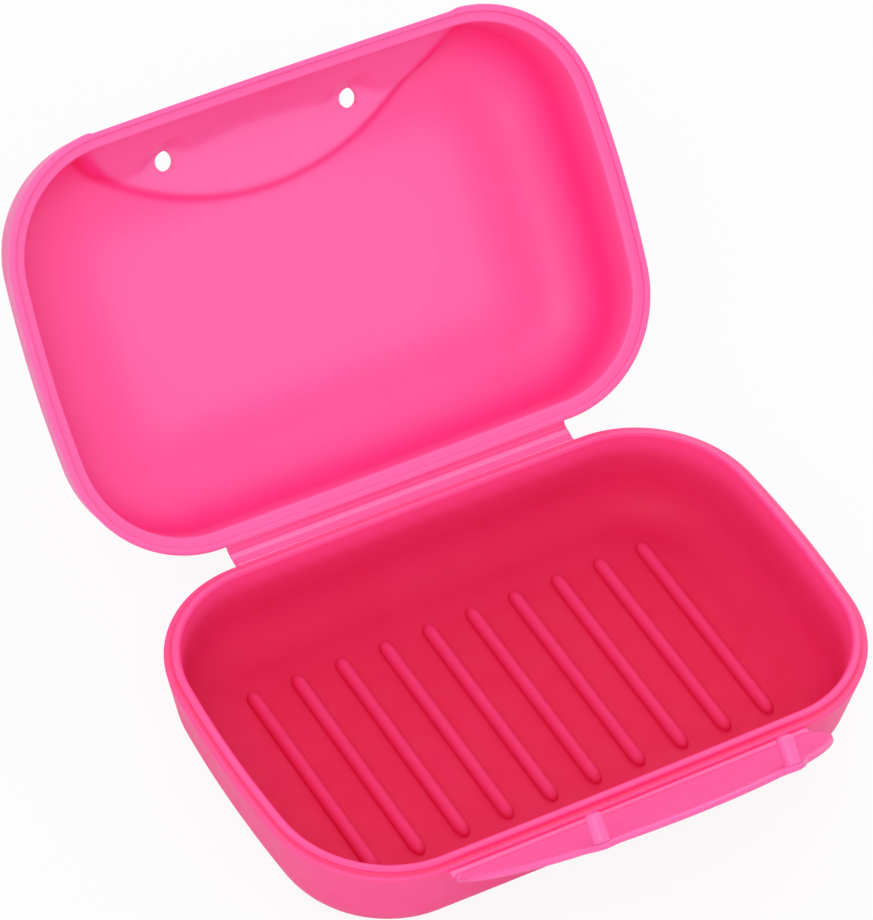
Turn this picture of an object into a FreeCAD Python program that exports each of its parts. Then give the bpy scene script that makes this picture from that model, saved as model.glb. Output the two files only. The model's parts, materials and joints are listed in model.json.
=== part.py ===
"""Travel soap box: a tray and a lid on a strap with two film hinges, and a studded latch flap.

Frame, in millimetres: +X along the long side, +Y towards the strap hinge, +Z up.
The origin is the centre of the tray's foot. Every piece is drawn in the closed box and then
turned about its film hinges into the open position, which is the rest position of the joints.
"""

import FreeCAD, Part

import math
import os

Vector = FreeCAD.Vector
AXIS_X = Vector(1, 0, 0)
AXIS_Z = Vector(0, 0, 1)

# Rim outline that the lid and the tray share
RIM_LENGTH = 110.0
RIM_WIDTH = 71.4
RIM_CORNER_RADIUS = 21.5
SIDE_BOW = 0.2
END_BOW = 0.55

# Tray: ledge on which the lid stands, lip that centres it, bowl and foot
TRAY_HEIGHT = 17.2
TRAY_SETBACK = 0.2
TRAY_WALL = 2.0
TRAY_FLOOR = 2.8
TRAY_SIDE_LEAN_DEG = 8.0
TRAY_END_LEAN_DEG = 14.0
TRAY_BASE_RADIUS = 9.0
LEDGE_WIDTH = 1.3
LIP_THICKNESS = 1.4
LIP_HEIGHT = 0.8
LIP_ROUND = 0.35

# Drain ribs on the tray floor
RIB_COUNT = 10
RIB_WIDTH = 2.6
RIB_HEIGHT = 1.3
RIB_END_GAP = 4.0
RIB_SIDE_GAP = 3.5

# Lid: skirt round the lip, flat panel and soft shoulder
LID_HEIGHT = 18.0
LID_WALL = 1.2
LID_SIDE_LEAN_DEG = 8.0
LID_END_LEAN_DEG = 15.0
LID_SHOULDER_RADIUS = 11.0
LIP_CLEARANCE = 0.25
PARTING_GAP = 0.2

# Film hinges: a thin bead on each fold line, with a tongue of each panel up to it
BEAD_RADIUS = 0.3
BEAD_CLEARANCE = 0.05
TONGUE_THICKNESS = 0.3

# Strap between the tray and the lid
STRAP_LENGTH = 64.0
STRAP_THICKNESS = 0.8
STRAP_TONGUE = 0.35
STRAP_AXIS_OUT = 0.75
STRAP_AXIS_BELOW = 0.8
STRAP_AXIS_ABOVE = 1.5
FLANGE_THICKNESS = 1.0
FLANGE_ROOT = 1.5

# Latch flap, folded over the lid's front edge
LATCH_LENGTH = 66.0
LATCH_THICKNESS = 1.2
LATCH_TONGUE = 1.0
LATCH_AXIS_OUT = 1.0
LATCH_AXIS_BELOW = 1.0
LATCH_FOLD_INSET = 7.8
LATCH_END_DEPTH = 5.5
LATCH_SHOULDER_X = 21.0
LATCH_SHOULDER_DEPTH = 21.8
LATCH_HAUNCH_X = 29.5
LATCH_HAUNCH_DEPTH = 13.8
LATCH_DEPTH = 27.0
LATCH_CLEARANCE = 0.25

# Recess in the lid that the flap closes into
RECESS_STEP = 1.3
RECESS_DEPTH = 17.6
RECESS_ARC_RADIUS = 43.0
RECESS_SIDE_CLEARANCE = 0.4

# Studs on the flap and their holes in the lid
STUD_SPACING = 34.6
STUD_INSET = 10.1
STUD_DIAMETER = 2.7
STUD_LENGTH = 4.6
STUD_TIP_CHAMFER = 0.45
STUD_BOSS_RADIUS = 2.1
HOLE_DIAMETER = 3.4

# Open position
STRAP_OPEN_DEG = 74.0
LID_ON_STRAP_OPEN_DEG = 58.0
LATCH_REST_RISE_DEG = 47.0

# Levels and lines worked out from the sizes above
PARTING_Z = TRAY_HEIGHT
LIP_TOP_Z = TRAY_HEIGHT + LIP_HEIGHT
LID_RIM_Z = PARTING_Z + PARTING_GAP
LID_TOP_Z = LID_RIM_Z + LID_HEIGHT
FRONT_Y = -RIM_WIDTH / 2
BACK_Y = RIM_WIDTH / 2
LIP_OUTER_INSET = TRAY_SETBACK + LEDGE_WIDTH
LIP_INNER_INSET = LIP_OUTER_INSET + LIP_THICKNESS
STRAP_AXIS_Y = BACK_Y + STRAP_AXIS_OUT
TRAY_AXIS = Vector(0, STRAP_AXIS_Y, PARTING_Z - STRAP_AXIS_BELOW)
LID_AXIS_CLOSED = Vector(0, STRAP_AXIS_Y, PARTING_Z + STRAP_AXIS_ABOVE)
LATCH_AXIS = Vector(0, FRONT_Y - LATCH_AXIS_OUT, PARTING_Z - LATCH_AXIS_BELOW)
PATCH_Z = LID_TOP_Z - RECESS_STEP
FOLD_AXIS_CLOSED = Vector(
    0,
    FRONT_Y + LATCH_FOLD_INSET,
    PATCH_Z + LATCH_CLEARANCE + LATCH_THICKNESS / 2,
)
FLAP_RUN = FOLD_AXIS_CLOSED.sub(LATCH_AXIS)
FLAP_LENGTH = FLAP_RUN.Length
FLAP_SLOPE_DEG = math.degrees(math.atan2(FLAP_RUN.z, FLAP_RUN.y))
LATCH_OPEN_DEG = 180.0 - LATCH_REST_RISE_DEG - FLAP_SLOPE_DEG
TIP_OPEN_DEG = FLAP_SLOPE_DEG
BEAD_SEAT = BEAD_RADIUS + BEAD_CLEARANCE
FLOOR_RADIUS = TRAY_BASE_RADIUS - TRAY_WALL
CUT_MARGIN = 20.0


def lean(degrees):
    """Horizontal travel per unit of height of a wall that leans by an angle."""
    return math.tan(math.radians(degrees))


def turned(shape, axis_point, degrees):
    """A copy of a shape turned about an X line through a point."""
    result = shape.copy()
    result.rotate(axis_point, AXIS_X, degrees)
    return result


def arc(start, middle, end):
    """Edge of a circular arc through three points."""
    return Part.Arc(start, middle, end).toShape()


def rim_wire(z, end_inset, side_inset):
    """Closed outline parallel to the rim: four bowed sides joined by tangent corner arcs."""
    half_length = RIM_LENGTH / 2 - end_inset
    half_width = RIM_WIDTH / 2 - side_inset
    radius = RIM_CORNER_RADIUS - (end_inset + side_inset) / 2
    corner_x = half_length - radius - END_BOW
    corner_y = half_width - radius - SIDE_BOW
    corner_sq = corner_x**2 + corner_y**2
    side_centre_y = ((half_width - radius) ** 2 - corner_sq) / (2 * SIDE_BOW)
    end_centre_x = ((half_length - radius) ** 2 - corner_sq) / (2 * END_BOW)
    corner = Vector(corner_x, corner_y, z)
    to_side = corner.sub(Vector(0, side_centre_y, z)).normalize()
    to_end = corner.sub(Vector(end_centre_x, 0, z)).normalize()
    to_middle = (to_side + to_end).normalize()
    side_point = corner + to_side * radius
    end_point = corner + to_end * radius
    middle_point = corner + to_middle * radius

    def at(point, sign_x, sign_y):
        return Vector(sign_x * point.x, sign_y * point.y, z)

    edges = []
    for sign_x, sign_y in ((1, 1), (-1, 1), (-1, -1), (1, -1)):
        first, last = (end_point, side_point)
        if sign_x * sign_y < 0:
            first, last = last, first
        edges.append(
            arc(
                at(first, sign_x, sign_y),
                at(middle_point, sign_x, sign_y),
                at(last, sign_x, sign_y),
            )
        )
        if sign_x == sign_y:
            side_middle = Vector(0, sign_y * half_width, z)
            edges.append(arc(at(last, sign_x, sign_y), side_middle, at(last, -sign_x, sign_y)))
        else:
            end_middle = Vector(sign_x * half_length, 0, z)
            edges.append(arc(at(last, sign_x, sign_y), end_middle, at(last, sign_x, -sign_y)))
    return Part.Wire(edges)


def rim_prism(low_z, high_z, inset):
    """Upright prism on an outline parallel to the rim."""
    return Part.Face(rim_wire(low_z, inset, inset)).extrude(Vector(0, 0, high_z - low_z))


def rounded_bowl(open_z, open_inset, closed_z, closed_end_inset, closed_side_inset, radius):
    """Leaning rim-shaped block whose closed end has a rounded edge."""
    open_wire = rim_wire(open_z, open_inset, open_inset)
    closed_wire = rim_wire(closed_z, closed_end_inset, closed_side_inset)
    block = Part.makeLoft([open_wire, closed_wire], True, True)
    edges = [
        edge
        for edge in block.Edges
        if all(abs(vertex.Z - closed_z) < 1e-6 for vertex in edge.Vertexes)
    ]
    return block.makeFillet(radius, edges)


def x_bar(profile, length):
    """Bar along X, centred, of a closed profile given as (y, z) points."""
    points = [Vector(-length / 2, y, z) for y, z in profile]
    wire = Part.makePolygon(points + points[:1])
    return Part.Face(wire).extrude(Vector(length, 0, 0))


def x_cylinder(centre, radius, length):
    """Cylinder along X, centred on a point."""
    start = centre + Vector(-length / 2, 0, 0)
    return Part.makeCylinder(radius, length, start, AXIS_X)


def slab(start, end, thickness, length):
    """Flat bar along X that spans from one Y to another about the Z = 0 plane."""
    half = thickness / 2
    return x_bar([(start, -half), (end, -half), (end, half), (start, half)], length)


def hinge_panel(run, thickness, tongue, length, hinge_at_end=False):
    """Flat panel along +Y from a film hinge on the X axis, thinned to a tongue beside the bead."""
    body_start = BEAD_SEAT + tongue
    body_end = run - body_start if hinge_at_end else run
    panel = slab(body_start, body_end, thickness, length)
    panel = panel.fuse(slab(0, run, TONGUE_THICKNESS, length))
    panel = panel.cut(x_cylinder(Vector(0, 0, 0), BEAD_SEAT, length + CUT_MARGIN))
    if hinge_at_end:
        panel = panel.cut(x_cylinder(Vector(0, run, 0), BEAD_SEAT, length + CUT_MARGIN))
    return panel.removeSplitter()


def placed_panel(panel, axis, direction_deg):
    """A panel moved to its film hinge and turned to its direction."""
    result = panel.copy()
    result.translate(axis)
    return turned(result, axis, direction_deg)


def film_bead(axis, length):
    """Bead of a film hinge on its fold line."""
    return x_cylinder(axis, BEAD_RADIUS, length)


def floor_inset(lean_deg):
    """Distance from the rim in to the foot of the tray's inner wall."""
    return TRAY_SETBACK + (TRAY_HEIGHT - TRAY_FLOOR) * lean(lean_deg) + TRAY_WALL


def strap_flange():
    """Flange of the tray or the lid that reaches out to one of the strap's films."""
    return hinge_panel(STRAP_AXIS_OUT + FLANGE_ROOT, FLANGE_THICKNESS, STRAP_TONGUE, STRAP_LENGTH)


def make_tray_shell():
    """Bowl with ledge, lip, the strap's flange at the back and the latch's flange in front."""
    side_run = TRAY_HEIGHT * lean(TRAY_SIDE_LEAN_DEG)
    end_run = TRAY_HEIGHT * lean(TRAY_END_LEAN_DEG)
    outer = rounded_bowl(
        PARTING_Z,
        TRAY_SETBACK,
        0,
        TRAY_SETBACK + end_run,
        TRAY_SETBACK + side_run,
        TRAY_BASE_RADIUS,
    )
    lip = rim_prism(PARTING_Z - LIP_HEIGHT, LIP_TOP_Z, LIP_OUTER_INSET)
    cavity = rounded_bowl(
        LIP_TOP_Z,
        LIP_INNER_INSET,
        TRAY_FLOOR,
        floor_inset(TRAY_END_LEAN_DEG),
        floor_inset(TRAY_SIDE_LEAN_DEG),
        FLOOR_RADIUS,
    )
    back_flange = placed_panel(strap_flange(), TRAY_AXIS, 180)
    latch_flange = hinge_panel(
        LATCH_AXIS_OUT + FLANGE_ROOT, FLANGE_THICKNESS, STRAP_TONGUE, LATCH_LENGTH
    )
    front_flange = placed_panel(latch_flange, LATCH_AXIS, 0)
    shell = outer.fuse([lip, back_flange, front_flange]).cut(cavity).removeSplitter()
    lip_edges = [
        edge
        for edge in shell.Edges
        if all(abs(vertex.Z - LIP_TOP_Z) < 1e-6 for vertex in edge.Vertexes)
    ]
    return shell.makeFillet(LIP_ROUND, lip_edges)


def make_drain_ribs():
    """Row of round-topped ribs over the flat of the floor, which keep it clear of water."""
    row_end = RIM_LENGTH / 2 - floor_inset(TRAY_END_LEAN_DEG) - FLOOR_RADIUS - RIB_END_GAP
    rib_end = RIM_WIDTH / 2 - floor_inset(TRAY_SIDE_LEAN_DEG) - FLOOR_RADIUS - RIB_SIDE_GAP
    half = RIB_WIDTH / 2
    pitch = 2 * (row_end - half) / (RIB_COUNT - 1)
    ribs = []
    for index in range(RIB_COUNT):
        x = (index - (RIB_COUNT - 1) / 2) * pitch
        low_left = Vector(x - half, -rib_end, TRAY_FLOOR)
        low_right = Vector(x + half, -rib_end, TRAY_FLOOR)
        top = Vector(x, -rib_end, TRAY_FLOOR + RIB_HEIGHT)
        base = Part.makeLine(low_right, low_left)
        wire = Part.Wire([arc(low_left, top, low_right), base])
        ribs.append(Part.Face(wire).extrude(Vector(0, 2 * rib_end, 0)))
    return Part.makeCompound(ribs)


def recess_prism(grow):
    """Plan of the latch recess as an upright prism: straight sides and an arc at the back."""
    half = LATCH_LENGTH / 2 + RECESS_SIDE_CLEARANCE + grow
    radius = RECESS_ARC_RADIUS + grow
    centre_y = FRONT_Y + RECESS_DEPTH - RECESS_ARC_RADIUS
    front_y = FRONT_Y - CUT_MARGIN
    side_y = centre_y + math.sqrt(radius**2 - half**2)
    low_z = PARTING_Z - CUT_MARGIN
    corners = [Vector(x, y, low_z) for x, y in ((-half, front_y), (half, front_y), (half, side_y))]
    left_end = Vector(-half, side_y, low_z)
    wire = Part.Wire(
        [
            Part.makeLine(corners[0], corners[1]),
            Part.makeLine(corners[1], corners[2]),
            arc(corners[2], Vector(0, centre_y + radius, low_z), left_end),
            Part.makeLine(left_end, corners[0]),
        ]
    )
    return Part.Face(wire).extrude(Vector(0, 0, LID_HEIGHT + 2 * CUT_MARGIN))


def recess_space(wall):
    """Space above the recess's slanted front and its flat patch, grown inwards by a wall."""
    offset = LATCH_THICKNESS / 2 + LATCH_CLEARANCE + wall
    slope = math.radians(FLAP_SLOPE_DEG)
    foot = LATCH_AXIS + Vector(0, math.sin(slope), -math.cos(slope)) * offset
    patch_z = PATCH_Z - wall
    low_z = PARTING_Z - CUT_MARGIN
    run_per_rise = math.cos(slope) / math.sin(slope)

    def front_y(z):
        return foot.y + (z - foot.z) * run_per_rise

    kept = x_bar(
        [
            (front_y(low_z), low_z),
            (RIM_WIDTH, low_z),
            (RIM_WIDTH, patch_z),
            (front_y(patch_z), patch_z),
        ],
        RIM_LENGTH + CUT_MARGIN,
    )
    return recess_prism(wall).cut(kept)


def stud_points():
    """Centres of the two studs in plan, on the closed lid."""
    return [
        Vector(sign * STUD_SPACING / 2, FRONT_Y + STUD_INSET, 0) for sign in (-1, 1)
    ]


def make_lid_shell_closed():
    """Lid with its skirt, the latch recess pressed into its front, two stud holes and a flange."""
    side_run = LID_HEIGHT * lean(LID_SIDE_LEAN_DEG)
    end_run = LID_HEIGHT * lean(LID_END_LEAN_DEG)
    outer = rounded_bowl(LID_RIM_Z, 0, LID_TOP_Z, end_run, side_run, LID_SHOULDER_RADIUS)
    outer = outer.cut(recess_space(0))
    rise = LID_HEIGHT - LID_WALL
    cavity = rounded_bowl(
        LID_RIM_Z,
        LIP_INNER_INSET,
        LID_TOP_Z - LID_WALL,
        rise * lean(LID_END_LEAN_DEG) + LID_WALL,
        rise * lean(LID_SIDE_LEAN_DEG) + LID_WALL,
        LID_SHOULDER_RADIUS - LID_WALL,
    )
    cavity = cavity.cut(recess_space(LID_WALL))
    lip_room = rim_prism(
        PARTING_Z - LIP_HEIGHT,
        LIP_TOP_Z + LIP_CLEARANCE,
        LIP_OUTER_INSET - LIP_CLEARANCE,
    )
    lip_room = lip_room.cut(
        rim_prism(
            PARTING_Z - LIP_HEIGHT, LIP_TOP_Z + LIP_CLEARANCE, LIP_INNER_INSET + LIP_CLEARANCE
        )
    )
    flange = placed_panel(strap_flange(), LID_AXIS_CLOSED, 180)
    shell = outer.fuse(flange).cut(cavity).cut(lip_room)
    for point in stud_points():
        low = Vector(point.x, point.y, PARTING_Z)
        shell = shell.cut(Part.makeCylinder(HOLE_DIAMETER / 2, LID_HEIGHT + CUT_MARGIN, low, AXIS_Z))
    return shell.removeSplitter()


def flap_outline():
    """Outline of the latch flap laid flat: +Y from its hinge to its arched free edge."""
    half = LATCH_LENGTH / 2
    end = Vector(half, LATCH_END_DEPTH, 0)
    haunch = Vector(LATCH_HAUNCH_X, LATCH_HAUNCH_DEPTH, 0)
    shoulder = Vector(LATCH_SHOULDER_X, LATCH_SHOULDER_DEPTH, 0)

    def mirrored(point):
        return Vector(-point.x, point.y, 0)

    return Part.Wire(
        [
            Part.makeLine(Vector(-half, -BEAD_SEAT, 0), Vector(half, -BEAD_SEAT, 0)),
            Part.makeLine(Vector(half, -BEAD_SEAT, 0), end),
            arc(end, haunch, shoulder),
            arc(shoulder, Vector(0, LATCH_DEPTH, 0), mirrored(shoulder)),
            arc(mirrored(shoulder), mirrored(haunch), mirrored(end)),
            Part.makeLine(mirrored(end), Vector(-half, -BEAD_SEAT, 0)),
        ]
    )


def flap_blank():
    """Prism of the flap's outline, as thick as the flap and with its bosses round the studs."""
    blank = Part.Face(flap_outline()).extrude(Vector(0, 0, LATCH_THICKNESS))
    blank.translate(Vector(0, 0, -LATCH_THICKNESS / 2))
    depth = FLAP_LENGTH + STUD_INSET - LATCH_FOLD_INSET
    for point in stud_points():
        low = Vector(point.x, depth, -LATCH_THICKNESS / 2)
        blank = blank.fuse(Part.makeCylinder(STUD_BOSS_RADIUS, LATCH_THICKNESS, low, AXIS_Z))
    return blank.removeSplitter()


def make_latch_flap_closed():
    """Lower panel of the flap, from its hinge to the fold."""
    panel = hinge_panel(FLAP_LENGTH, LATCH_THICKNESS, LATCH_TONGUE, LATCH_LENGTH, True)
    return placed_panel(panel.common(flap_blank()), LATCH_AXIS, FLAP_SLOPE_DEG)


def make_latch_tip_closed():
    """Tip of the flap beyond the fold, flat over the lid's patch when closed."""
    blank = flap_blank()
    blank.translate(Vector(0, -FLAP_LENGTH, 0))
    panel = hinge_panel(CUT_MARGIN, LATCH_THICKNESS, STRAP_TONGUE, LATCH_LENGTH)
    tip = panel.common(blank)
    tip.translate(FOLD_AXIS_CLOSED)
    return tip


def make_latch_studs_closed():
    """Pair of studs under the flap's tip, with chamfered ends."""
    studs = []
    high_z = FOLD_AXIS_CLOSED.z - LATCH_THICKNESS / 2
    radius = STUD_DIAMETER / 2
    straight = STUD_LENGTH - STUD_TIP_CHAMFER
    for point in stud_points():
        top = Vector(point.x, point.y, high_z)
        shaft = Part.makeCylinder(radius, straight, top, -AXIS_Z)
        end = Vector(point.x, point.y, high_z - straight)
        cone = Part.makeCone(radius, radius - STUD_TIP_CHAMFER, STUD_TIP_CHAMFER, end, -AXIS_Z)
        studs.append(shaft.fuse(cone).removeSplitter())
    return Part.makeCompound(studs)


def fold_length():
    """Length of the fold line inside the flap's outline."""
    far = RIM_LENGTH
    line = Part.makeLine(Vector(-far, FLAP_LENGTH, 0), Vector(far, FLAP_LENGTH, 0))
    return line.common(Part.Face(flap_outline())).Length


def make_hinge_strap_closed():
    """Strap between the two hinge films, upright in the closed box."""
    run = LID_AXIS_CLOSED.z - TRAY_AXIS.z
    strap = hinge_panel(run, STRAP_THICKNESS, STRAP_TONGUE, STRAP_LENGTH, True)
    return placed_panel(strap, TRAY_AXIS, 90)


def opened_on_strap(shape):
    """A piece of the strap, turned back about the tray's film."""
    return turned(shape, TRAY_AXIS, -STRAP_OPEN_DEG)


def opened_with_lid(shape):
    """A piece of the lid, turned about its own film and then with the strap."""
    return opened_on_strap(turned(shape, LID_AXIS_CLOSED, -LID_ON_STRAP_OPEN_DEG))


def opened_with_latch(shape):
    """A piece of the flap, turned forward about the latch's film."""
    return turned(shape, LATCH_AXIS, LATCH_OPEN_DEG)


def opened_with_tip(shape):
    """A piece of the flap's tip, unfolded and then turned with the flap."""
    return opened_with_latch(turned(shape, FOLD_AXIS_CLOSED, TIP_OPEN_DEG))


def make_parts():
    """Every piece in the open position, by name."""
    return {
        "tray_shell": make_tray_shell(),
        "drain_ribs": make_drain_ribs(),
        "tray_hinge_film": film_bead(TRAY_AXIS, STRAP_LENGTH),
        "hinge_strap": opened_on_strap(make_hinge_strap_closed()),
        "lid_hinge_film": opened_on_strap(film_bead(LID_AXIS_CLOSED, STRAP_LENGTH)),
        "lid_shell": opened_with_lid(make_lid_shell_closed()),
        "latch_hinge_film": film_bead(LATCH_AXIS, LATCH_LENGTH),
        "latch_flap": opened_with_latch(make_latch_flap_closed()),
        "latch_fold_film": opened_with_latch(film_bead(FOLD_AXIS_CLOSED, fold_length())),
        "latch_tip": opened_with_tip(make_latch_tip_closed()),
        "latch_studs": opened_with_tip(make_latch_studs_closed()),
    }


def main():
    """Builds the pieces and writes each as its own STEP file."""
    os.makedirs("parts", exist_ok=True)
    for name, shape in make_parts().items():
        shape.exportStep("parts/" + name + ".step")
        box = shape.BoundBox
        print(
            f"{name}: valid {shape.isValid()}, {len(shape.Solids)} solids, "
            f"{shape.Volume:.1f} mm3, {box.XLength:.1f} x {box.YLength:.1f} x {box.ZLength:.1f} mm"
        )


main()
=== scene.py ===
"""Looks of the travel soap box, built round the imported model.

Sizes in the classes are millimetres and become metres where a mesh is made. The lid is drawn on
the closed box and then turned open about its two film hinges, as the real one is.
"""

import json
import logging
import math
from dataclasses import dataclass
from enum import Enum
from typing import Any, Sequence

import bmesh
import bpy
import numpy as np
from mathutils import Matrix, Vector

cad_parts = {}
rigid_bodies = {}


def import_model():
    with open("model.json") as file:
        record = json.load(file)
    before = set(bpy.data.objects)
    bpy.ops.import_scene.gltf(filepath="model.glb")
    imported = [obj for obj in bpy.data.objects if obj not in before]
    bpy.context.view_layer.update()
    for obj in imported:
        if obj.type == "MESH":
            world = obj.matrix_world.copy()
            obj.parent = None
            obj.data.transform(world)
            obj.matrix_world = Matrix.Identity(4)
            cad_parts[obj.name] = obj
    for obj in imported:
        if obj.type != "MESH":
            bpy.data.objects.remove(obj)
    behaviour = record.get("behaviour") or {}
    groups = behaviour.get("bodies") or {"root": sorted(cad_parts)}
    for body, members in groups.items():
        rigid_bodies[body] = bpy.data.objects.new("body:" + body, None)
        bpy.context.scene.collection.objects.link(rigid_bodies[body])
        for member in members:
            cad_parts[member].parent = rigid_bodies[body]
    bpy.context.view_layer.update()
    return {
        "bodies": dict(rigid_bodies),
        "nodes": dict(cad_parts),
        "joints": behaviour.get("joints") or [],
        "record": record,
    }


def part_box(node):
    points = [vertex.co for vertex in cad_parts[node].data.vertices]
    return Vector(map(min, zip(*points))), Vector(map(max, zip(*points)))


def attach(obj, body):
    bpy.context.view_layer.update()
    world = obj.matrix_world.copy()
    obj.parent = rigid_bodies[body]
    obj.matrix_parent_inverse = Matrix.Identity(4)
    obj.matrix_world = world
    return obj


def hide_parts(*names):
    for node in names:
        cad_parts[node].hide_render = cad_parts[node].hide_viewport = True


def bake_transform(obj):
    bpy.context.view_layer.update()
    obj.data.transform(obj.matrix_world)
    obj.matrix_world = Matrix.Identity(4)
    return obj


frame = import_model()

log = logging.getLogger("soap_box")

MM = 0.001
TONE = "tone"
MERGE_DISTANCE = 1e-7
SHORTEST = 1e-12
X_AXIS = np.array([1.0, 0.0, 0.0])
WHITE = (1.0, 1.0, 1.0, 1.0)

Piece = bpy.types.Object
Plastic = bpy.types.Material
NodeTree = bpy.types.NodeTree
Socket = bpy.types.NodeSocket
Face = tuple[int, ...]
Colour = tuple[float, float, float]


class Slot(Enum):
    """Material slots of the record."""

    SHELL = "pink_shell"
    FILM = "pink_film"


def smoothstep(value: np.ndarray) -> np.ndarray:
    """Eases 0 to 1 with level ends, clipped outside."""
    share = np.clip(value, 0.0, 1.0)
    return share * share * (3.0 - 2.0 * share)


def soft_positive(value: np.ndarray, radius: float) -> np.ndarray:
    """The value where it is positive and zero elsewhere, rounded over a radius."""
    return 0.5 * (value + np.sqrt(value * value + radius * radius))


def soft_max(first: np.ndarray, second: np.ndarray, radius: float) -> np.ndarray:
    """The larger of two values, with the change-over rounded."""
    return second + soft_positive(first - second, radius)


def unit(vectors: np.ndarray) -> np.ndarray:
    """Vectors scaled to length one."""
    lengths = np.linalg.norm(vectors, axis=-1, keepdims=True)
    return vectors / np.maximum(lengths, SHORTEST)


@dataclass(frozen=True)
class Hinge:
    """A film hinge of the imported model."""

    point: np.ndarray
    axis: np.ndarray
    closed_deg: float

    @classmethod
    def from_frame(cls, packed: dict[str, Any], name: str) -> "Hinge":
        """Reads a hinge and the angle at which the box is closed.

        Args:
            name: Name of the joint.

        Returns:
            The hinge, in millimetres and degrees.
        """
        joints = {joint["name"]: joint for joint in packed["joints"]}
        couplings = packed["record"]["behaviour"]["couplings"]
        followed = {pair["joint"]: pair for pair in couplings}
        if name in followed:
            pair = followed[name]
            closed = joints[pair["follows"]]["range_deg"][0] * pair["ratio"]
        else:
            closed = joints[name]["range_deg"][0]
        point = np.array(joints[name]["pos_m"]) / MM
        return cls(point, np.array(joints[name]["axis"], float), closed)

    def turn(self, points: np.ndarray, degrees: float) -> np.ndarray:
        """Points turned about the hinge.

        Args:
            points: Array of points.
            degrees: Angle by the right-hand rule about the axis.

        Returns:
            The turned points.
        """
        angle = math.radians(degrees)
        arm = points - self.point
        along = (arm @ self.axis)[..., None] * self.axis
        across = np.cross(self.axis, arm)
        turned = arm * math.cos(angle) + across * math.sin(angle)
        return self.point + turned + along * (1.0 - math.cos(angle))


@dataclass(frozen=True)
class BoxHinges:
    """The four film hinges of the box."""

    strap: Hinge
    lid: Hinge
    latch: Hinge
    fold: Hinge

    @classmethod
    def from_frame(cls, packed: dict[str, Any]) -> "BoxHinges":
        """Reads the four hinges from the frame."""
        names = ("strap_hinge", "lid_hinge", "latch_hinge", "tip_fold")
        return cls(*(Hinge.from_frame(packed, name) for name in names))

    def open_lid(self, points: np.ndarray) -> np.ndarray:
        """Points of the closed lid where they are on the open box."""
        on_strap = self.strap.turn(points, -self.strap.closed_deg)
        return self.lid.turn(on_strap, -self.lid.closed_deg)

    def fold_when_closed(self) -> np.ndarray:
        """Place of the flap's fold on the closed box."""
        return self.latch.turn(self.fold.point, self.latch.closed_deg)


@dataclass(frozen=True)
class FlapSize:
    """Sizes that the latch flap shares with its recess in the lid."""

    half_length: float = 33.0
    thickness: float = 1.2
    stud_spacing: float = 34.6
    hole_inset: float = 10.1


@dataclass(frozen=True)
class RimOutline:
    """Plan of the rim: four bowed sides joined by corner arcs."""

    length: float = 110.0
    width: float = 71.4
    corner_radius: float = 21.5
    side_bow: float = 0.2
    end_bow: float = 0.55
    front_steps: int = 150
    back_steps: int = 64
    end_steps: int = 22
    corner_steps: int = 56

    def ring(self, end_inset: float, side_inset: float) -> np.ndarray:
        """Closed ring of plan points parallel to the rim, anticlockwise from the front left.

        Args:
            end_inset: Distance in from the two short ends.
            side_inset: Distance in from the two long sides.

        Returns:
            Points in plan, one row each.
        """
        half_length = self.length / 2 - end_inset
        half_width = self.width / 2 - side_inset
        radius = self.corner_radius - (end_inset + side_inset) / 2
        inset = np.array([radius + self.end_bow, radius + self.side_bow])
        corner = np.array([half_length, half_width]) - inset
        reach = float(corner @ corner)
        side_centre = ((half_width - radius) ** 2 - reach) / (2 * self.side_bow)
        end_centre = ((half_length - radius) ** 2 - reach) / (2 * self.end_bow)
        to_side = math.atan2(corner[1] - side_centre, corner[0])
        to_end = math.atan2(corner[1], corner[0] - end_centre)
        angles = np.linspace(to_end, to_side, self.corner_steps + 1)
        arc = corner + radius * np.stack([np.cos(angles), np.sin(angles)], axis=1)
        side_radius = half_width - side_centre
        end_radius = half_length - end_centre
        front_x = np.linspace(-arc[-1, 0], arc[-1, 0], self.front_steps + 1)
        back_x = np.linspace(arc[-1, 0], -arc[-1, 0], self.back_steps + 1)
        right_y = np.linspace(-arc[0, 1], arc[0, 1], self.end_steps + 1)
        front_y = -side_centre - np.sqrt(side_radius**2 - front_x**2)
        back_y = side_centre + np.sqrt(side_radius**2 - back_x**2)
        right_x = end_centre + np.sqrt(end_radius**2 - right_y**2)
        right = np.stack([right_x, right_y], axis=1)
        flip_y = np.array([1.0, -1.0])
        parts = [
            np.stack([front_x, front_y], axis=1),
            arc[::-1] * flip_y,
            right,
            arc,
            np.stack([back_x, back_y], axis=1),
            arc[::-1] * -flip_y,
            -right,
            -arc,
        ]
        return np.concatenate([part[:-1] for part in parts])

    def end_share(self) -> np.ndarray:
        """How far each ring point faces a short end, from 0 on the sides to 1 on the ends."""
        ring = self.ring(0.0, 0.0)
        return unit(np.roll(ring, -1, axis=0) - np.roll(ring, 1, axis=0))[:, 1] ** 2


@dataclass(frozen=True)
class Corner:
    """One corner of a wall's section."""

    end: float
    side: float
    z: float
    radius: float = 0.0
    steps: int = 6


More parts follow.
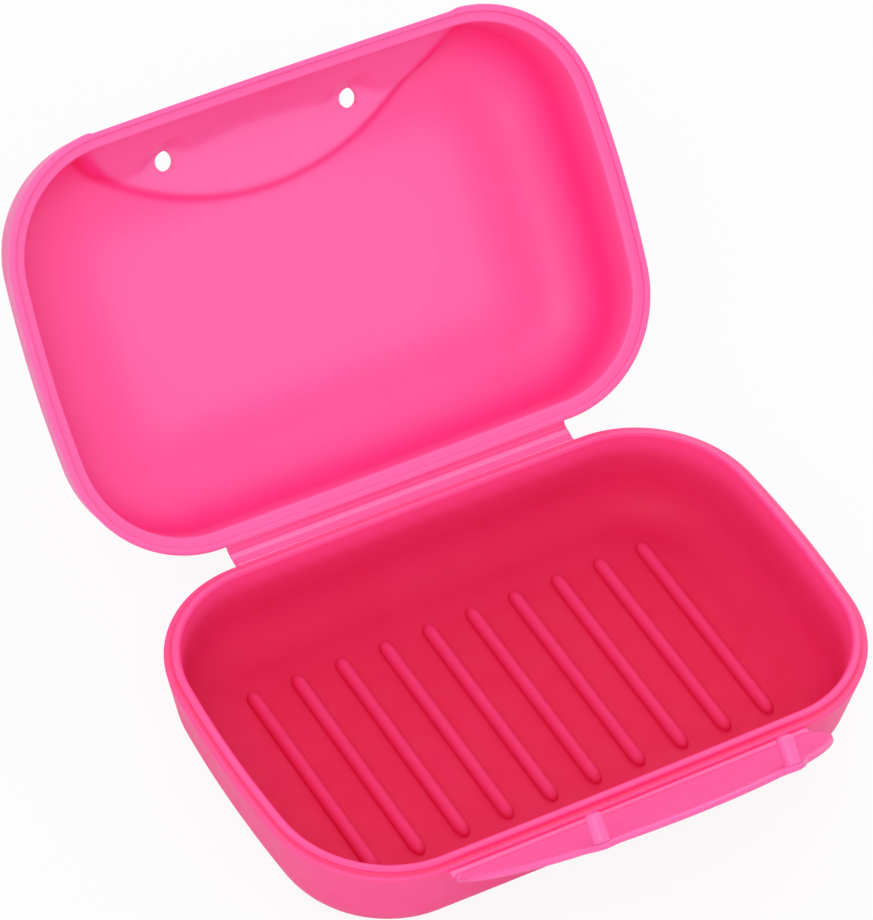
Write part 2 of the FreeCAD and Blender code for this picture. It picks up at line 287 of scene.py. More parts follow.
def fillet(line: np.ndarray, index: int, radius: float, steps: int) -> np.ndarray:
    """Arc that rounds a corner of a flat line.

    Args:
        line: Corners of the line.
        index: The corner to round.
        radius: Radius of the arc.
        steps: Number of chords.

    Returns:
        Points of the arc, or the corner alone where the radius is zero.
    """
    corner = line[index]
    if radius == 0.0:
        return corner[None, :]
    to_before = unit(line[index - 1] - corner)
    to_after = unit(line[index + 1] - corner)
    half = math.acos(float(np.clip(to_before @ to_after, -1.0, 1.0))) / 2
    tangent = radius / math.tan(half)
    centre = corner + unit(to_before + to_after) * radius / math.sin(half)
    first = corner + to_before * tangent - centre
    last = corner + to_after * tangent - centre
    sweep = math.pi - 2 * half
    shares = np.linspace(0.0, 1.0, steps + 1)[:, None]
    arms = np.sin((1 - shares) * sweep) * first + np.sin(shares * sweep) * last
    return centre + arms / math.sin(sweep)


@dataclass(frozen=True)
class WallSection:
    """Section of a moulded wall, with its own slope at the ends and at the sides."""

    corners: Sequence[Corner]
    longest_step: float

    def rows(self) -> tuple[np.ndarray, np.ndarray]:
        """Points along the section.

        Returns:
            Rows of end inset, end height, side inset and side height, and for each row the index
            of the corner that it belongs to or follows.
        """
        lines = [
            np.array([[corner.end, corner.z] for corner in self.corners]),
            np.array([[corner.side, corner.z] for corner in self.corners]),
        ]
        rows: list[np.ndarray] = []
        owners: list[int] = []
        for index, corner in enumerate(self.corners):
            arcs = [fillet(line, index, corner.radius, corner.steps) for line in lines]
            block = np.concatenate(arcs, axis=1)
            if rows:
                last = rows[-1]
                gap = block[0] - last
                count = int(np.linalg.norm(gap[2:]) // self.longest_step)
                rows.extend(last + gap * step / (count + 1) for step in range(1, count + 1))
                owners.extend([index - 1] * count)
            rows.extend(block)
            owners.extend([index] * len(block))
        return np.array(rows), np.array(owners)


def swept_rings(outline: RimOutline, rows: np.ndarray) -> np.ndarray:
    """Rings of a wall section carried round the rim.

    Args:
        outline: Plan of the rim.
        rows: Rows from a wall section.

    Returns:
        Points by ring and place on the ring.
    """
    share = outline.end_share()
    rings = []
    for end, end_z, side, side_z in rows:
        height = end_z * share + side_z * (1.0 - share)
        rings.append(np.column_stack([outline.ring(end, side), height]))
    return np.array(rings)


def inner_rings(ring: np.ndarray, shares: Sequence[float]) -> np.ndarray:
    """Rings of a flat panel inside a given ring.

    Args:
        ring: Outer ring of the panel.
        shares: How far each new ring lies on the way to the panel's middle line.

    Returns:
        Points by ring and place on the ring.
    """
    half_line = ring[:, 0].max() - ring[:, 1].max()
    middle = ring.copy()
    middle[:, 0] *= half_line / ring[:, 0].max()
    middle[:, 1] = 0.0
    return np.array([ring + (middle - ring) * share for share in shares])


def ring_normals(rings: np.ndarray) -> np.ndarray:
    """Unit normals of a surface of rings, by the order of its rings and points."""
    along = np.roll(rings, -1, axis=1) - np.roll(rings, 1, axis=1)
    return unit(np.cross(along, np.gradient(rings, axis=0)))


def strip_faces(low: int, high: int, size: int, closed: bool) -> list[Face]:
    """Faces between two rows of points.

    Args:
        low: Index of the first row's first point.
        high: Index of the second row's first point.
        size: Points on each row.
        closed: Whether the rows are rings.

    Returns:
        Faces as tuples of point indices.
    """
    places = range(size if closed else size - 1)
    steps = [(place, (place + 1) % size) for place in places]
    return [(low + here, low + after, high + after, high + here) for here, after in steps]


def ring_faces(count: int, size: int) -> list[Face]:
    """Faces between rings of points, with both end rings capped.

    Args:
        count: Number of rings.
        size: Points on each ring.

    Returns:
        Faces as tuples of point indices.
    """
    faces: list[Face] = []
    for ring in range(count - 1):
        faces += strip_faces(ring * size, (ring + 1) * size, size, closed=True)
    faces.append(tuple(range(size))[::-1])
    faces.append(tuple(range((count - 1) * size, count * size)))
    return faces


def make_piece(
    name: str, points: np.ndarray, faces: Sequence[Face], tone: np.ndarray, *finishes: Plastic
) -> Piece:
    """Smooth mesh object from points in millimetres.

    Args:
        name: Name of the piece.
        points: One row for each point.
        faces: Point indices of each face.
        tone: Tone of the plastic at each point, from -1 for pale to 1 for deep, which mostly
            carries painted light and painted shade.
        finishes: Plastics of the piece.

    Returns:
        The new object, linked into the scene, with its faces pointing outwards.
    """
    mesh = bpy.data.meshes.new(name)
    mesh.from_pydata((points * MM).tolist(), [], [list(face) for face in faces])
    layer = mesh.attributes.new(TONE, "FLOAT", "POINT")
    layer.data.foreach_set("value", np.asarray(tone, np.float32).ravel())
    work = bmesh.new()
    work.from_mesh(mesh)
    bmesh.ops.remove_doubles(work, verts=work.verts, dist=MERGE_DISTANCE)
    bmesh.ops.recalc_face_normals(work, faces=work.faces)
    for face in work.faces:
        face.smooth = True
    work.to_mesh(mesh)
    work.free()
    for finish in finishes:
        mesh.materials.append(finish)
    piece = bpy.data.objects.new(name, mesh)
    bpy.context.scene.collection.objects.link(piece)
    return piece


def ring_piece(name: str, rings: np.ndarray, tone: np.ndarray, *finishes: Plastic) -> Piece:
    """Smooth mesh object from rings of points in millimetres, capped at both ends."""
    faces = ring_faces(rings.shape[0], rings.shape[1])
    return make_piece(name, rings.reshape(-1, 3), faces, tone, *finishes)


def bake_modifiers(piece: Piece) -> None:
    """Replaces a piece's mesh by what its modifiers make of it.

    Args:
        piece: The piece, which loses its modifiers.
    """
    graph = bpy.context.evaluated_depsgraph_get()
    graph.update()
    mesh = bpy.data.meshes.new_from_object(piece.evaluated_get(graph))
    mesh.name = piece.name
    piece.modifiers.clear()
    piece.data = mesh


def add_sockets(tree: NodeTree, direction: str, kinds: dict[str, str]) -> None:
    """Adds named sockets to the interface of a node group.

    Args:
        tree: The group.
        direction: INPUT or OUTPUT.
        kinds: Kind of each socket by its name.
    """
    for name, kind in kinds.items():
        tree.interface.new_socket(name, in_out=direction, socket_type=f"NodeSocket{kind}")


@dataclass(frozen=True)
class PlasticFinish:
    """Satin pink polypropylene in one tint, mixed from pale through plain to deep by a tone that
    mostly carries painted light and painted shade.
    """

    name: str
    pale: Colour
    plain: Colour
    deep: Colour
    roughness: float
    specular: float
    grain_height: float = 0.03
    grain_strength: float = 0.35
    ior: float = 1.49

    def material(self, skin: NodeTree) -> Plastic:
        """Builds the finish.

        Args:
            skin: Node group of the moulded skin.

        Returns:
            The material.
        """
        material = bpy.data.materials.new(self.name)
        material.use_nodes = True
        nodes = material.node_tree.nodes
        links = material.node_tree.links
        shader = nodes["Principled BSDF"]
        shader.inputs["IOR"].default_value = self.ior
        shader.inputs["Specular IOR Level"].default_value = self.specular
        place = nodes.new("ShaderNodeTexCoord")
        tone = nodes.new("ShaderNodeAttribute")
        tone.attribute_name = TONE
        group = nodes.new("ShaderNodeGroup")
        group.node_tree = skin
        group.inputs["Pale"].default_value = (*self.pale, 1.0)
        group.inputs["Plain"].default_value = (*self.plain, 1.0)
        group.inputs["Deep"].default_value = (*self.deep, 1.0)
        group.inputs["Sheen"].default_value = self.roughness
        bump = nodes.new("ShaderNodeBump")
        bump.inputs["Strength"].default_value = self.grain_strength
        bump.inputs["Distance"].default_value = self.grain_height * MM
        links.new(place.outputs["Object"], group.inputs["Place"])
        links.new(tone.outputs["Fac"], group.inputs["Tone"])
        links.new(group.outputs["Colour"], shader.inputs["Base Color"])
        links.new(group.outputs["Roughness"], shader.inputs["Roughness"])
        links.new(group.outputs["Height"], bump.inputs["Height"])
        links.new(bump.outputs["Normal"], shader.inputs["Normal"])
        return material


@dataclass(frozen=True)
class NoiseLayer:
    """One scale of unevenness in the moulded skin."""

    per_m: float
    detail: float
    spread: float = 0.0


@dataclass(frozen=True)
class MouldedSkin:
    """Shader group of a moulded surface: tone with its painted light and shade, faint mottling,
    uneven sheen and fine grain.
    """

    mottle: NoiseLayer = NoiseLayer(per_m=90.0, detail=3.0, spread=0.03)
    sheen: NoiseLayer = NoiseLayer(per_m=260.0, detail=2.0, spread=0.06)
    grain: NoiseLayer = NoiseLayer(per_m=4200.0, detail=2.0)
    noise_range: tuple[float, float] = (0.3, 0.7)

    def build(self) -> NodeTree:
        """Builds the group.

        Returns:
            A node group with Place, Tone, Pale, Plain, Deep and Sheen inputs, and Colour,
            Roughness and Height outputs.
        """
        tree = bpy.data.node_groups.new("moulded_skin", "ShaderNodeTree")
        add_sockets(tree, "INPUT", {"Place": "Vector", "Tone": "Float"})
        add_sockets(tree, "INPUT", {"Pale": "Color", "Plain": "Color", "Deep": "Color"})
        add_sockets(tree, "INPUT", {"Sheen": "Float"})
        add_sockets(tree, "OUTPUT", {"Colour": "Color", "Roughness": "Float", "Height": "Float"})
        enter = tree.nodes.new("NodeGroupInput")
        leave = tree.nodes.new("NodeGroupOutput")
        place = enter.outputs["Place"]
        drift = self._uneven(tree, self._noise(tree, place, self.mottle), self.mottle)
        gloss = self._uneven(tree, self._noise(tree, place, self.sheen), self.sheen)
        # Tone carries the pieces' painted light and painted shade; the drift adds random mottling
        # to it.
        toned = self._math(tree, "ADD", enter.outputs["Tone"], drift)
        flipped = self._math(tree, "MULTIPLY", toned, -1.0)
        deeper = self._mix(tree, toned, enter.outputs["Plain"], enter.outputs["Deep"])
        paler = self._mix(tree, flipped, deeper, enter.outputs["Pale"])
        rough = self._math(tree, "ADD", enter.outputs["Sheen"], gloss)
        tree.links.new(paler, leave.inputs["Colour"])
        tree.links.new(rough, leave.inputs["Roughness"])
        tree.links.new(self._noise(tree, place, self.grain), leave.inputs["Height"])
        return tree

    @staticmethod
    def _noise(tree: NodeTree, place: Socket, layer: NoiseLayer) -> Socket:
        """Adds a noise texture.

        Args:
            tree: The group.
            place: Place on the piece, in metres.
            layer: Scale and detail of the noise.

        Returns:
            The noise, from 0 to 1.
        """
        noise = tree.nodes.new("ShaderNodeTexNoise")
        noise.inputs["Scale"].default_value = layer.per_m
        noise.inputs["Detail"].default_value = layer.detail
        tree.links.new(place, noise.inputs["Vector"])
        return noise.outputs["Fac"]

    def _uneven(self, tree: NodeTree, noise: Socket, layer: NoiseLayer) -> Socket:
        """Spreads noise evenly about zero.

        Args:
            tree: The group.
            noise: The noise.
            layer: How far it spreads.

        Returns:
            The spread noise.
        """
        spread = tree.nodes.new("ShaderNodeMapRange")
        spread.inputs["From Min"].default_value = self.noise_range[0]
        spread.inputs["From Max"].default_value = self.noise_range[1]
        spread.inputs["To Min"].default_value = -layer.spread
        spread.inputs["To Max"].default_value = layer.spread
        tree.links.new(noise, spread.inputs["Value"])
        return spread.outputs["Result"]

    @staticmethod
    def _math(tree: NodeTree, operation: str, first: Socket, second: Socket | float) -> Socket:
        """Adds a sum or a product.

        Args:
            tree: The group.
            operation: Name of the operation.
            first: First value.
            second: Second value, which may be a plain number.

        Returns:
            The result.
        """
        node = tree.nodes.new("ShaderNodeMath")
        node.operation = operation
        tree.links.new(first, node.inputs[0])
        if isinstance(second, float):
            node.inputs[1].default_value = second
        else:
            tree.links.new(second, node.inputs[1])
        return node.outputs[0]

    @staticmethod
    def _mix(tree: NodeTree, factor: Socket, first: Socket, second: Socket) -> Socket:
        """Adds a mix of two colours.

        Args:
            tree: The group.
            factor: Share of the second colour, clamped from 0 to 1.
            first: First colour.
            second: Second colour.

        Returns:
            The mixed colour.
        """
        node = tree.nodes.new("ShaderNodeMix")
        node.data_type = "RGBA"
        node.clamp_factor = True
        inputs = {socket.identifier: socket for socket in node.inputs}
        outputs = {socket.identifier: socket for socket in node.outputs}
        tree.links.new(factor, inputs["Factor_Float"])
        tree.links.new(first, inputs["A_Color"])
        tree.links.new(second, inputs["B_Color"])
        return outputs["Result_Color"]


@dataclass(frozen=True)
class Finishes:
    """The plastics of the box."""

    tray: Plastic
    bed: Plastic
    lid: Plastic
    flap: Plastic
    film: Plastic

    @classmethod
    def build(cls) -> "Finishes":
        """Builds the plastics on one moulded skin.

        Returns:
            The plastics.
        """
        tray = PlasticFinish(
            "tray_pink",
            pale=(1.0, 0.13, 0.4),
            plain=(1.0, 0.07, 0.29),
            deep=(0.95, 0.04, 0.18),
            roughness=0.42,
            specular=0.45,
        )
        # The bed finish is the tray's plastic painted darker: painted shade for the inside of the
        # bowl and its ribs.
        bed = PlasticFinish(
            "bed_pink",
            pale=(1.0, 0.09, 0.3),
            plain=(1.0, 0.07, 0.29),
            deep=(0.71, 0.012, 0.07),
            roughness=0.5,
            specular=0.12,
        )
        lid = PlasticFinish(
            "lid_pink",
            pale=(1.0, 0.18, 0.49),
            plain=(1.0, 0.14, 0.43),
            deep=(1.0, 0.03, 0.25),
            roughness=0.42,
            specular=0.3,
        )
        flap = PlasticFinish(
            "flap_pink",
            pale=(1.0, 0.18, 0.49),
            plain=(1.0, 0.145, 0.44),
            deep=(1.0, 0.07, 0.3),
            roughness=0.38,
            specular=0.35,
        )
        film = PlasticFinish(
            "film_pink",
            pale=(1.0, 0.25, 0.56),
            plain=(1.0, 0.13, 0.41),
            deep=(1.0, 0.05, 0.26),
            roughness=0.38,
            specular=0.35,
            grain_height=0.02,
        )
        skin = MouldedSkin().build()
        return cls(*(finish.material(skin) for finish in (tray, bed, lid, flap, film)))


@dataclass(frozen=True)
class Tray:
    """Lower bowl with the ledge that the lid stands on and the lip that centres it."""

    outline: RimOutline
    height: float = 17.2
    setback: float = 0.2
    wall: float = 2.0
    floor: float = 2.8
    side_lean_deg: float = 8.0
    end_lean_deg: float = 14.0
    base_radius: float = 9.0
    ledge_width: float = 1.3
    lip_thickness: float = 1.4
    lip_height: float = 0.8
    edge_radius: float = 0.35
    groove_radius: float = 0.25
    lip_radius: float = 0.5
    base_steps: int = 18
    groove_steps: int = 4
    lip_steps: int = 8
    longest_step: float = 1.6
    panel_shares: tuple[float, ...] = (0.15, 0.35, 0.6, 0.85)
    # Painted shade inside the bowl, deeper the further below the rim, and in the groove under the
    # lip.
    shade_below_rim: float = 1.0
    shade_run: float = 3.0
    wall_shade: float = 0.55
    fall_shade: float = 0.5
    fall_limit: float = 0.8
    groove_shade: float = 0.8

    GROOVE_CORNER = 3
    INSIDE_CORNER = 5

    def section(self) -> WallSection:
        """Section from the foot, up the outer wall, over the lip and down to the floor.

        Returns:
            The section.
        """
        side = math.tan(math.radians(self.side_lean_deg))
        end = math.tan(math.radians(self.end_lean_deg))
        drop = self.height - self.floor
        foot = (self.setback + self.height * end, self.setback + self.height * side)
        bed = (self.setback + self.wall + drop * end, self.setback + self.wall + drop * side)
        lip_out = self.setback + self.ledge_width
        lip_in = lip_out + self.lip_thickness
        top = self.height + self.lip_height
        flat = self.base_radius
        corners = [
            Corner(foot[0] + flat, foot[1] + flat, 0.0),
            Corner(foot[0], foot[1], 0.0, self.base_radius, self.base_steps),
            Corner(self.setback, self.setback, self.height, self.edge_radius),
            Corner(lip_out, lip_out, self.height, self.groove_radius, self.groove_steps),
            Corner(lip_out, lip_out, top, self.edge_radius),
            Corner(lip_in, lip_in, top, self.lip_radius, self.lip_steps),
            Corner(bed[0], bed[1], self.floor, flat - self.wall, self.base_steps),
            Corner(bed[0] + flat, bed[1] + flat, self.floor),
        ]
        return WallSection(corners, self.longest_step)

    def build(self, finishes: Finishes) -> Piece:
        """Builds the shell.

        Args:
            finishes: The plastics.

        Returns:
            The piece, riding on the tray.
        """
        rows, owners = self.section().rows()
        walls = swept_rings(self.outline, rows)
        foot = inner_rings(walls[0], self.panel_shares)[::-1]
        bed = inner_rings(walls[-1], self.panel_shares)
        rings = np.concatenate([foot, walls, bed])
        # Painted shade: the inside is painted deeper below the rim, the groove deep and the floor
        # deepest.
        below = self.height - self.shade_below_rim - rows[:, 3]
        depth = self.wall_shade * np.clip(below / self.shade_run, 0.0, 1.0)
        depth = depth + self.fall_shade * np.clip(below / self.height, 0.0, self.fall_limit)
        painted_groove = self.groove_shade * (owners == self.GROOVE_CORNER)
        tone = np.where(owners >= self.INSIDE_CORNER, depth, painted_groove)
        tone = np.concatenate([np.zeros(len(foot)), tone, np.ones(len(bed))])
        size = rings.shape[1]
        piece = ring_piece("tray_bowl", rings, np.repeat(tone, size), finishes.tray, finishes.bed)
        # The inside takes the bed finish, whose darker deep colour is painted shade.
        first_inside = (len(foot) + int(np.argmax(owners >= self.INSIDE_CORNER))) * size
        for face in piece.data.polygons:
            face.material_index = int(min(face.vertices) >= first_inside)
        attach(piece, "tray")
        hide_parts("tray_shell")
        return piece


@dataclass(frozen=True)
class Recess:
    """Recess in the lid's front that the flap closes into: a slanted facet and a flat patch.

    A wall of zero thickness in its methods stands for the lid's outside.
    """

    flap: FlapSize
    hinges: BoxHinges
    front_y: float
    side_clearance: float = 0.4
    flap_clearance: float = 0.25
    step: float = 1.3
    depth: float = 17.6
    arc_radius: float = 43.0
    edge_width: float = 1.2
    edge_growth: float = 0.9
    inner_edge_width: float = 2.2
    side_fade: float = 6.0
    crease_radius: float = 1.2
    inner_crease_radius: float = 1.7
    lip_softness: float = 0.2
    least_pull: float = 0.05
    inner_low_z: float = 19.0
    inner_rise: float = 2.0
    hole_land: float = 1.9
    hole_fade: float = 3.6
    thin_wall: float = 0.55
    arch_half: float = 17.0
    arch_start: float = 8.4
    arch_per_mm: float = 0.0076
    arch_blur: float = 0.9
    # Painted light and shade of the recess: the facet is painted deeper with shade, the patch pale
    # with light, and a painted shadow lies along the step.
    facet_rim_shade: float = 0.55
    end_shade_fade: float = 0.5
    patch_light: float = -0.6
    shade_overrun: float = 3.0
    step_shadow_tone: float = 0.75
    step_shadow_inset: float = 1.1
    step_shadow_width: float = 0.9

    NEVER = -99.0

    def press(
        self, points: np.ndarray, inward: np.ndarray, patch_z: float, wall: float
    ) -> np.ndarray:
        """Presses the recess into a surface of the closed lid.

        Args:
            points: Points of the surface.
            inward: Unit normals that point into the box.
            patch_z: Height of the patch on this surface.
            wall: Thickness of the wall between the outside and this surface.

        Returns:
            The pressed points.
        """
        if wall == 0.0:
            travel = self._travel(points, inward, patch_z, np.zeros(1), self.crease_radius)
        else:
            crease = self.inner_crease_radius
            shift = np.full(1, self.thin_wall)
            travel = self._travel(points, inward, patch_z, shift, crease)
            shift = shift + self._arch(points + inward * travel[..., None], patch_z)
            travel = self._travel(points, inward, patch_z, shift, crease)
            travel = travel * smoothstep((points[..., 2] - self.inner_low_z) / self.inner_rise)
        cover = self._cover(points[..., 0], points[..., 1], wall)
        return points + inward * (travel * cover)[..., None]

    def _travel(
        self,
        points: np.ndarray,
        inward: np.ndarray,
        patch_z: float,
        shift: np.ndarray,
        crease: float,
    ) -> np.ndarray:
        """How far points move along their normals to reach the facet or the patch.

        Args:
            points: Points of the surface.
            inward: Unit normals that point into the box.
            patch_z: Height of the patch.
            shift: How far back the facet lies from the flap's own clearance.
            crease: Radius that rounds the crease between the two.

        Returns:
            The travel of each point, zero where the surface is inside already.
        """
        y, z = points[..., 1], points[..., 2]
        hinge = self.hinges.latch.point
        run = self.hinges.fold_when_closed() - hinge
        slope = math.atan2(run[2], run[1])
        offset = self.flap.thickness / 2 + self.flap_clearance
        foot_y = hinge[1] + math.sin(slope) * offset
        foot_z = hinge[2] - math.cos(slope) * offset
        facet_y = foot_y + (z - foot_z) / math.tan(slope) + shift
        facet_pull = inward[..., 1] * math.sin(slope) - inward[..., 2] * math.cos(slope)
        patch_pull = -inward[..., 2]
        to_facet = (facet_y - y) * math.sin(slope) / np.maximum(facet_pull, self.least_pull)
        to_patch = (z - patch_z) / np.maximum(patch_pull, self.least_pull)
        facet_travel = np.where(facet_pull > self.least_pull, to_facet, self.NEVER)
        patch_travel = np.where(patch_pull > self.least_pull, to_patch, self.NEVER)
        return soft_positive(soft_max(facet_travel, patch_travel, crease), self.lip_softness)

    def _arch(self, points: np.ndarray, patch_z: float) -> np.ndarray:
        """Extra depth of the facet inside, which arches its crease.

        Args:
            points: Points of the inside, pressed in without the arch.
            patch_z: Height of the patch.

        Returns:
            The extra depth, which leaves a land round each hole.
        """
        x, y, z = points[..., 0], points[..., 1], points[..., 2]
        rise = np.clip((z - self.inner_low_z) / (patch_z - self.inner_low_z), 0.0, 1.0)
        reach = np.minimum(np.abs(x), self.arch_half)
        hole_x = self.flap.stud_spacing / 2
        from_hole = np.hypot(np.abs(x) - hole_x, y - self.front_y - self.flap.hole_inset)
        clear = smoothstep((from_hole - self.hole_land) / self.hole_fade)
        return self.arch_per_mm * reach * reach * rise * clear

    def _from_arc(self, x: np.ndarray, y: np.ndarray, wall: float) -> np.ndarray:
        """Distance in plan inside the recess's arched edge.

        Args:
            x: Places along the lid.
            y: Places across the lid.
            wall: Thickness of the wall, which grows the edge inside to leave room for its ramp.

        Returns:
            The distance, negative outside the edge.
        """
        centre_y = self.front_y + self.depth - self.arc_radius
        grown = wall + self.inner_edge_width - self.edge_width if wall > 0.0 else 0.0
        return self.arc_radius + self.edge_growth + grown - np.hypot(x, y - centre_y)

    def _cover(self, x: np.ndarray, y: np.ndarray, wall: float) -> np.ndarray:
        """How far the recess is pressed in at places in plan.

        Args:
            x: Places along the lid.
            y: Places across the lid.
            wall: Thickness of the wall, which gives the inside its soft ends.

        Returns:
            The share of the full travel, from 0 to 1.
        """
        edge = self.inner_edge_width if wall > 0.0 else self.edge_width
        fade = self.side_fade if wall > 0.0 else self.edge_width
        side = self.flap.half_length + self.side_clearance + self.edge_growth
        side = side + (fade if wall > 0.0 else 0.0)
        by_arc = smoothstep(self._from_arc(x, y, wall) / edge)
        by_side = smoothstep((side - np.abs(x)) / fade)
        return by_arc * by_side * (y < 0)

    def shade(self, points: np.ndarray, tone: np.ndarray, wall: float) -> np.ndarray:
        """Tone of the recess seen from inside, all painted: a lens pale with light under an arched
        facet deeper with shade, and a shadow along the step.

        Args:
            points: Points of the inside.
            tone: Tone without the recess.
            wall: Thickness of the wall.

        Returns:
            The tone with the recess.
        """
        x, y = points[..., 0], points[..., 1]
        inside = self._from_arc(x, y, wall)
        run = y - self.front_y
        crease = self.arch_start + self.arch_per_mm * x * x
        patch = smoothstep((run - crease) / self.arch_blur + 0.5)
        toward_end = np.clip(np.abs(x) / self.flap.half_length, 0.0, 1.0)
        # Painted shade on the facet, deepest at the rim and fading towards the crease and the ends;
        # painted light on the patch.
        facet = self.facet_rim_shade - self.end_shade_fade * toward_end - np.clip(run / crease, 0.0, 1.0)
        lens = facet + (self.patch_light - facet) * patch
        past_end = self.flap.half_length + self.shade_overrun - np.abs(x)
        ends = smoothstep(past_end / self.side_fade) * (y < 0)
        cover = smoothstep(inside / self.inner_edge_width) * ends
        # Painted shadow of the step along the arched edge.
        line = np.exp(-(((inside - self.step_shadow_inset) / self.step_shadow_width) ** 2)) * ends
        return tone + (lens - tone) * cover + self.step_shadow_tone * line


@dataclass(frozen=True)
class Lid:
    """Domed lid with its skirt, the latch recess and two stud holes, drawn closed."""

    outline: RimOutline
    recess: Recess
    rim_z: float = 17.4
    height: float = 18.0
    wall: float = 1.2
    side_lean_deg: float = 8.0
    end_lean_deg: float = 15.0
    shoulder_radius: float = 11.0
    skirt_width: float = 1.25
    groove_height: float = 0.85
    cavity_inset: float = 2.9
    rim_radius: float = 0.35
    skirt_radius: float = 0.3
    groove_radius: float = 0.25
    ledge_radius: float = 0.45
    shoulder_steps: int = 26
    groove_steps: int = 4
    longest_step: float = 0.55
    hole_diameter: float = 3.4
    hole_steps: int = 64
    drill_overshoot: float = 4.0
    sharp_edge_deg: float = 50.0
    panel_margin: float = 10.6
    fine_rings: int = 20
    fine_share: float = 0.02
    coarse_shares: tuple[float, ...] = (0.5, 0.62, 0.75, 0.88)
    # Painted light and shade inside: the panel is painted pale, and the shoulders and the panel's
    # edge are painted deeper with shade.
    pale_from: float = 0.45
    shoulder_below: float = 7.5
    shoulder_spread: float = 5.5
    shoulder_shade: float = 0.6
    panel_edge_shade: float = 0.45
    panel_tone: float = -0.2
    tone_rise: float = 2.0

    RIM_CORNER = 2

    def section(self) -> WallSection:
        """Section from the top panel, down the outer wall, round the skirt and up inside.

        Returns:
            The section.
        """
        side = math.tan(math.radians(self.side_lean_deg))
        end = math.tan(math.radians(self.end_lean_deg))
        top = self.rim_z + self.height
        ceiling = top - self.wall
        rise = self.height - self.wall
        crown = (self.height * end, self.height * side)
        vault = (rise * end + self.wall, rise * side + self.wall)
        ledge_z = self.rim_z + self.groove_height
        share = self.groove_height / rise
        ledge = [self.cavity_inset + (inset - self.cavity_inset) * share for inset in vault]
        margin = self.panel_margin
        radius = self.shoulder_radius
        skirt = self.skirt_width
        corners = [
            Corner(crown[0] + margin, crown[1] + margin, top),
            Corner(crown[0], crown[1], top, radius, self.shoulder_steps),
            Corner(0.0, 0.0, self.rim_z, self.rim_radius),
            Corner(skirt, skirt, self.rim_z, self.skirt_radius),
            Corner(skirt, skirt, ledge_z, self.groove_radius, self.groove_steps),
            Corner(ledge[0], ledge[1], ledge_z, self.ledge_radius),
            Corner(vault[0], vault[1], ceiling, radius - self.wall, self.shoulder_steps),
            Corner(vault[0] + margin, vault[1] + margin, ceiling),
        ]
        return WallSection(corners, self.longest_step)

    def build(self, finish: Plastic) -> Piece:
        """Builds the lid where it stands on the open box.

        Args:
            finish: Plastic of the lid.

        Returns:
            The piece, riding on the lid.
        """
        rows, owners = self.section().rows()
        walls = swept_rings(self.outline, rows)
        fine = [self.fine_share * (step + 1) for step in range(self.fine_rings)]
        shares = (*fine, *self.coarse_shares)
        outer_walls = walls[owners <= self.RIM_CORNER]
        inner_walls = walls[owners > self.RIM_CORNER]
        outside = np.concatenate([inner_rings(walls[0], shares)[::-1], outer_walls])
        inside = np.concatenate([inner_walls, inner_rings(walls[-1], shares)])
        normals = ring_normals(np.concatenate([outside, inside]))
        outer_in = -normals[: len(outside)] * np.sign(normals[0, 0, 2])
        inner_in = -normals[len(outside) :] * np.sign(normals[-1, 0, 2])
        patch_z = self.rim_z + self.height - self.recess.step
        outer = self.recess.press(outside, outer_in, patch_z, 0.0)
        inner = self.recess.press(inside, inner_in, patch_z - self.wall, self.wall)
        inner_tone = self._tone(inner, np.concatenate([np.zeros(len(inner_walls)), shares]))
        tone = np.concatenate([np.zeros(outer.shape[:2]), inner_tone])
        rings = self.recess.hinges.open_lid(np.concatenate([outer, inner]))
        piece = ring_piece("lid_dome", rings, tone, finish)
        self._drill(piece, finish)
        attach(piece, "lid")
        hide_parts("lid_shell")
        return piece

    def _tone(self, inside: np.ndarray, shares: np.ndarray) -> np.ndarray:
        """Tone inside the lid: painted light makes the panel pale and painted shade makes the
        shoulders deeper.

        Args:
            inside: Rings of the closed lid's inside.
            shares: How far each ring lies on the way to the panel's middle.

        Returns:
            The tone of each point.
        """
        below = self.rim_z + self.height - self.wall - inside[..., 2]
        # Painted shade in the shoulders and along the panel's edge, over a panel painted pale with
        # light.
        shoulder = np.exp(-(((below - self.shoulder_below) / self.shoulder_spread) ** 2))
        panel_edge = 1.0 - smoothstep(shares / self.pale_from)
        plain = self.shoulder_shade * shoulder + self.panel_edge_shade * panel_edge[:, None]
        shaded = self.recess.shade(inside, plain + self.panel_tone, self.wall)
        lift = (inside[..., 2] - self.rim_z - self.groove_height) / self.tone_rise
        return shaded * np.clip(lift, 0.0, 1.0)

    def _drill(self, piece: Piece, finish: Plastic) -> None:
        """Cuts the two stud holes, square to the closed lid's patch.

        Args:
            piece: The lid.
            finish: Plastic of the holes.
        """
        flap = self.recess.flap
        y = self.recess.front_y + flap.hole_inset
        low = self.rim_z + self.height / 2
        high = self.rim_z + self.height + self.drill_overshoot
        angles = np.linspace(0.0, 2 * math.pi, self.hole_steps, endpoint=False)
        circle = np.stack([np.cos(angles), np.sin(angles)], axis=1) * self.hole_diameter / 2
        for x in (-flap.stud_spacing / 2, flap.stud_spacing / 2):
            plan = circle + np.array([x, y])
            ends = [np.column_stack([plan, np.full(len(plan), z)]) for z in (low, high)]
            rings = self.recess.hinges.open_lid(np.array(ends))
            drill = ring_piece("drill", rings, np.zeros(rings.shape[:2]), finish)
            cut = piece.modifiers.new("stud_hole", "BOOLEAN")
            cut.operation = "DIFFERENCE"
            cut.solver = "EXACT"
            cut.object = drill
            bake_modifiers(piece)
            bpy.data.objects.remove(drill)
        piece.data.set_sharp_from_angle(angle=math.radians(self.sharp_edge_deg))


